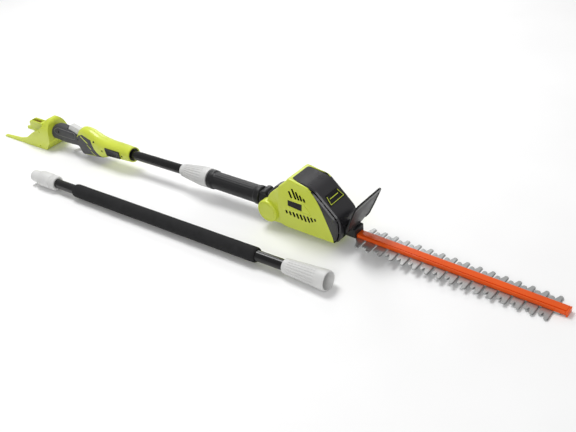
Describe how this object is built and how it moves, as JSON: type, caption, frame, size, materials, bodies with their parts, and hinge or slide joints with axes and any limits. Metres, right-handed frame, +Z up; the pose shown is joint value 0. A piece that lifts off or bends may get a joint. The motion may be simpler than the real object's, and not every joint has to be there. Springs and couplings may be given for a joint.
{
  "type": "hedge trimmer",
  "caption": "Cordless pole hedge trimmer: battery dock, grip with trigger, tube, folding motor head with toothed blades, and a loose extension pole.",
  "frame": {"origin": "on the floor under the middle of the whole object's box", "axes": "+X forward along the tool to the blade tip, +Y to the left, away from the extension pole, +Z up"},
  "size_m": [1.79, 0.2452, 0.1533],
  "materials": {
    "lime_plastic": "satin moulded",
    "grey_plastic": "fine texture",
    "black_plastic": "satin moulded",
    "white_plastic": "moulded",
    "black_tube": "gloss black coating",
    "steel": "machined",
    "blade_steel": "ground and bright",
    "orange_bar": "orange coating",
    "foam": "closed-cell foam",
    "copper": "plated"
  },
  "bodies": {
    "handle": {"contact_negative": "copper", "contact_positive": "copper", "dock_left": "lime_plastic", "dock_right": "lime_plastic", "front_housing_left": "lime_plastic", "front_housing_right": "lime_plastic", "grip_left": "grey_plastic", "grip_right": "grey_plastic", "knuckle": "black_plastic", "main_tube": "black_tube", "name_plate": "black_plastic", "screw_1": "steel", "screw_2": "steel", "screw_3": "steel", "screw_4": "steel", "screw_5": "steel", "sleeve": "black_plastic", "switch_body": "black_plastic", "terminal_block": "lime_plastic", "trigger_pin": "steel", "trigger_spring": "steel", "tube_bushing": "black_plastic", "tube_plug": "grey_plastic", "wiring_lead": "copper"},
    "head": {"head_left": "lime_plastic", "head_right": "lime_plastic", "motor_cover": "black_plastic", "head_name_plate": "black_plastic", "window_frame": "grey_plastic", "guard": "black_plastic", "motor_body": "steel", "gearbox_plate": "steel", "blade_root_block": "black_plastic", "support_bar": "orange_bar", "bar_tip": "orange_bar", "pivot_pin": "steel", "tilt_lever_pin": "steel", "guide_pin_1": "steel", "guide_pin_2": "steel", "guide_pin_3": "steel", "guide_pin_4": "steel", "guide_pin_5": "steel"},
    "trigger": {"trigger": "white_plastic"},
    "lock_off": {"lock_off_lever": "white_plastic"},
    "tilt_release": {"tilt_lever": "grey_plastic"},
    "collar": {"collar_nut": "white_plastic"},
    "blade_upper": {"upper_blade": "blade_steel"},
    "blade_lower": {"lower_blade": "blade_steel"},
    "crank": {"crank_gear": "steel"},
    "pinion": {"motor_pinion": "steel"},
    "bell": {"pole_bell": "white_plastic"},
    "pole": {"pole_tube": "black_tube", "pole_foam": "foam", "pole_coupler": "white_plastic", "pole_ring": "white_plastic", "pole_socket": "black_plastic"}
  },
  "joints": [
    {"name": "head_tilt", "type": "hinge", "parent": "handle", "child": "head", "pos_m": [0.18172, 0.07164, 0.04624], "axis": [0, 1, 0], "range_deg": [0, 90]},
    {"name": "trigger_squeeze", "type": "hinge", "parent": "handle", "child": "trigger", "pos_m": [-0.52009, 0.07164, 0.0204], "axis": [0, 1, 0], "range_deg": [0, 12], "stiffness_Nm_per_rad": 0.6},
    {"name": "lock_off_press", "type": "hinge", "parent": "handle", "child": "lock_off", "pos_m": [-0.53453, 0.07164, 0.07328], "axis": [0, -1, 0], "range_deg": [0, 6], "stiffness_Nm_per_rad": 0.6},
    {"name": "tilt_release_pull", "type": "hinge", "parent": "head", "child": "tilt_release", "pos_m": [0.19442, 0.07164, 0.08235], "axis": [0, 1, 0], "range_deg": [0, 8], "stiffness_Nm_per_rad": 0.6},
    {"name": "collar_turn", "type": "hinge", "parent": "handle", "child": "collar", "pos_m": [-0.08736, 0.07164, 0.055], "axis": [1, 0, 0.0083], "continuous": true},
    {"name": "upper_blade_slide", "type": "slide", "parent": "head", "child": "blade_upper", "axis": [0.9988, 0, -0.0495], "range_m": [-0.007, 0.007]},
    {"name": "lower_blade_slide", "type": "slide", "parent": "head", "child": "blade_lower", "axis": [0.9988, 0, -0.0495], "range_m": [-0.007, 0.007]},
    {"name": "crank_spin", "type": "hinge", "parent": "head", "child": "crank", "pos_m": [0.32205, 0.07164, 0.02848], "axis": [0.0495, 0, 0.9988], "continuous": true},
    {"name": "pinion_spin", "type": "hinge", "parent": "head", "child": "pinion", "pos_m": [0.29468, 0.07164, 0.02984], "axis": [0.0495, 0, 0.9988], "continuous": true},
    {"name": "pole_lift", "type": "slide", "parent": "handle", "child": "pole", "axis": [0, 0, 1], "range_m": [0, 0.3]},
    {"name": "bell_turn", "type": "hinge", "parent": "pole", "child": "bell", "pos_m": [0.38762, -0.09304, 0.02291], "axis": [1, 0.0095, 0.0021], "continuous": true}
  ],
  "couplings": [
    {"joint": "lower_blade_slide", "follows": "upper_blade_slide", "ratio": -1},
    {"joint": "crank_spin", "follows": "pinion_spin", "ratio": -0.22727}
  ]
}
